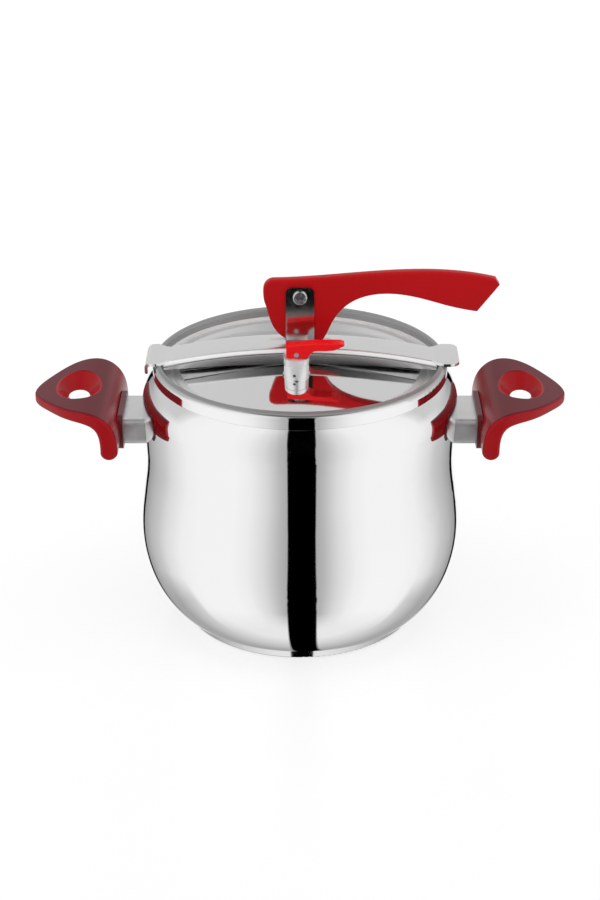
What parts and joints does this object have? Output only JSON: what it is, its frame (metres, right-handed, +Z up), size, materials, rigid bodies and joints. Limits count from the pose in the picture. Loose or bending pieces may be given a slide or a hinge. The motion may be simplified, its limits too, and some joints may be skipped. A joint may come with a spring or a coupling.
{
  "type": "pressure cooker",
  "caption": "Bellied steel pressure cooker with an inside lid drawn up by a red cam lever on a bow, a steam valve with its own lever, and two ear-shaped red side handles.",
  "frame": {"origin": "middle of the base, on the table", "axes": "+X from the left handle to the right one, -Y towards the steam valve at the front, +Z up"},
  "size_m": [0.398, 0.244, 0.2756],
  "materials": {
    "pot_steel": "mirror-polished stainless steel",
    "lid_steel": "mirror-polished stainless steel with fine turning lines",
    "bow_steel": "satin pressed stainless steel",
    "column_steel": "polished stainless steel strap",
    "bracket_steel": "satin stainless steel tube",
    "valve_steel": "turned and polished stainless steel",
    "fastener_steel": "zinc-plated steel",
    "spring_steel": "drawn stainless wire",
    "core_aluminium": "rolled plate",
    "seal_rubber": "grey rubber",
    "seal_silicone": "white silicone rubber",
    "lever_red": "glossy red moulding",
    "valve_red": "bright red glossy moulding",
    "handle_red": "pearl red lacquered moulding",
    "collar_red": "dark red moulding"
  },
  "bodies": {
    "pot": {"pot_body": "pot_steel", "base_core": "core_aluminium", "base_cap": "pot_steel", "left_bracket": "bracket_steel", "right_bracket": "bracket_steel", "left_handle": "handle_red", "right_handle": "handle_red", "left_handle_insert": "collar_red", "right_handle_insert": "collar_red", "handle_screws": "fastener_steel", "handle_nuts": "fastener_steel", "bow_bar": "bow_steel"},
    "lid": {"lid_plate": "lid_steel", "lid_gasket": "seal_silicone", "column_bracket": "column_steel", "column_bolt": "fastener_steel", "column_seal": "seal_rubber", "column_nut": "fastener_steel", "pivot_bolt": "fastener_steel", "pivot_washers": "fastener_steel", "pivot_nut": "fastener_steel", "valve_body": "valve_steel", "valve_ring": "seal_rubber", "valve_nut": "fastener_steel", "valve_spring": "spring_steel", "safety_valve": "valve_steel", "safety_nut": "fastener_steel"},
    "lever": {"main_lever": "lever_red", "lever_bush": "fastener_steel"},
    "valve_stem": {"valve_stem": "valve_steel", "valve_disc": "seal_rubber"},
    "valve_lever": {"valve_lever": "valve_red", "valve_pin": "fastener_steel"}
  },
  "joints": [
    {"name": "lid_drop", "type": "slide", "parent": "pot", "child": "lid", "axis": [0, 0, -1], "range_m": [0, 0.0086]},
    {"name": "lever_turn", "type": "hinge", "parent": "lid", "child": "lever", "pos_m": [0, 0, 0.2561], "axis": [0, -1, 0], "range_deg": [0, 90]},
    {"name": "valve_lift", "type": "slide", "parent": "lid", "child": "valve_stem", "axis": [0, 0, 1], "range_m": [0, 0.0075], "deforming": ["valve_spring"]},
    {"name": "valve_lever_turn", "type": "hinge", "parent": "valve_stem", "child": "valve_lever", "pos_m": [-0.0026, -0.0297, 0.2225], "axis": [0, -1, 0], "range_deg": [0, 75]}
  ],
  "couplings": [
    {"joint": "lid_drop", "follows": "lever_turn", "m_per_rad": 0.0054},
    {"joint": "valve_lift", "follows": "valve_lever_turn", "m_per_rad": 0.00565}
  ]
}
